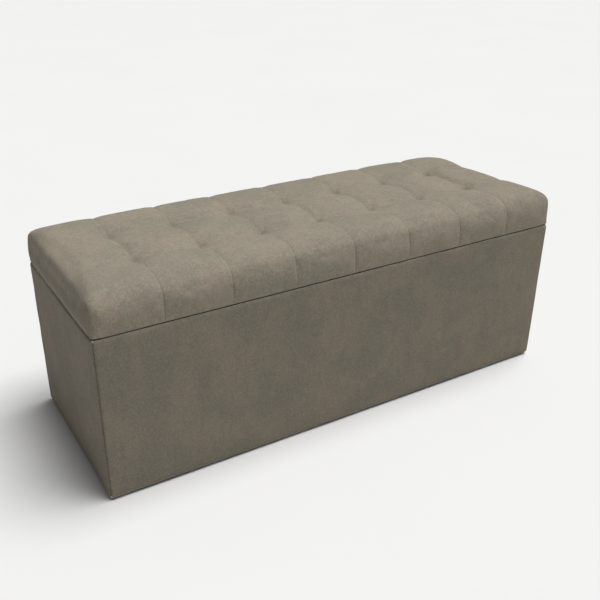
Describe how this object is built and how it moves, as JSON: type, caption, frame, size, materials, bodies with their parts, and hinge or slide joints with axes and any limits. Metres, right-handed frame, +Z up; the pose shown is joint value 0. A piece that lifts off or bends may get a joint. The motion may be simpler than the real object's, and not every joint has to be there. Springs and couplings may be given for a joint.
{
  "type": "storage bench",
  "caption": "Upholstered storage bench: long padded box with a biscuit-tufted hinged lid held open by slotted stays, lined storage space inside.",
  "frame": {"origin": "on the floor under the middle of the bench, centred on the overall box", "axes": "+X along the bench to the right as seen from the front, the front faces -Y and the hinged back +Y, +Z up"},
  "size_m": [1.2, 0.457, 0.4664],
  "materials": {
    "board": "matte",
    "softwood": "matte",
    "cover_fabric": "matte",
    "lining_cloth": "matte",
    "dust_cloth": "matte",
    "wadding": "matte",
    "foam": "matte",
    "twine": "matte",
    "nylon": "satin",
    "buffer_rubber": "matte",
    "zinc_plate": "satin",
    "fastener_steel": "satin"
  },
  "bodies": {
    "box": {"front_panel": "board", "back_panel": "board", "left_panel": "board", "right_panel": "board", "base_board": "board", "front_bottom_rail": "softwood", "back_bottom_rail": "softwood", "left_bottom_rail": "softwood", "right_bottom_rail": "softwood", "centre_bearer": "softwood", "hinge_rail": "softwood", "corner_post_front_left": "softwood", "corner_post_front_right": "softwood", "corner_post_back_left": "softwood", "corner_post_back_right": "softwood", "wall_padding": "wadding", "front_cover": "cover_fabric", "back_cover": "cover_fabric", "left_cover": "cover_fabric", "right_cover": "cover_fabric", "side_lining": "lining_cloth", "floor_lining": "lining_cloth", "dust_cover": "dust_cloth", "underside_staples": "fastener_steel", "glides": "nylon", "rim_buffers": "buffer_rubber", "hinge_1_box_leaf": "zinc_plate", "hinge_2_box_leaf": "zinc_plate", "hinge_3_box_leaf": "zinc_plate", "hinge_pins": "zinc_plate", "hinge_box_screws": "fastener_steel", "stay_left_box_plate": "zinc_plate", "stay_right_box_plate": "zinc_plate", "stay_studs": "fastener_steel", "stay_box_screws": "fastener_steel"},
    "lid": {"hinge_1_lid_leaf": "zinc_plate", "hinge_2_lid_leaf": "zinc_plate", "hinge_3_lid_leaf": "zinc_plate", "hinge_lid_screws": "fastener_steel", "lid_board": "board", "lid_front_rail": "softwood", "lid_back_rail": "softwood", "lid_left_rail": "softwood", "lid_right_rail": "softwood", "lid_cross_rail_left": "softwood", "lid_cross_rail_right": "softwood", "lid_foam": "foam", "lid_wadding": "wadding", "lid_cover": "cover_fabric", "lid_lining": "lining_cloth", "lid_staples": "fastener_steel", "tuft_twines": "twine", "tuft_anchors": "fastener_steel", "stay_left_lid_plate": "zinc_plate", "stay_right_lid_plate": "zinc_plate", "stay_rivets": "fastener_steel", "stay_lid_screws": "fastener_steel"},
    "stay_left": {"stay_left_arm": "zinc_plate"},
    "stay_right": {"stay_right_arm": "zinc_plate"}
  },
  "joints": [
    {"name": "lid_hinge", "type": "hinge", "parent": "box", "child": "lid", "pos_m": [0, 0.2253, 0.3775], "axis": [-1, 0, 0], "range_deg": [0, 85]},
    {"name": "stay_left_pivot", "type": "hinge", "parent": "lid", "child": "stay_left", "pos_m": [-0.571, 0.0446, 0.35691], "axis": [1, 0, 0], "range_deg": [0, 42.5]},
    {"name": "stay_right_pivot", "type": "hinge", "parent": "lid", "child": "stay_right", "pos_m": [0.571, 0.0446, 0.35691], "axis": [1, 0, 0], "range_deg": [0, 42.5]}
  ],
  "couplings": [
    {"joint": "stay_left_pivot", "follows": "lid_hinge", "ratio": 0.5},
    {"joint": "stay_right_pivot", "follows": "lid_hinge", "ratio": 0.5}
  ]
}
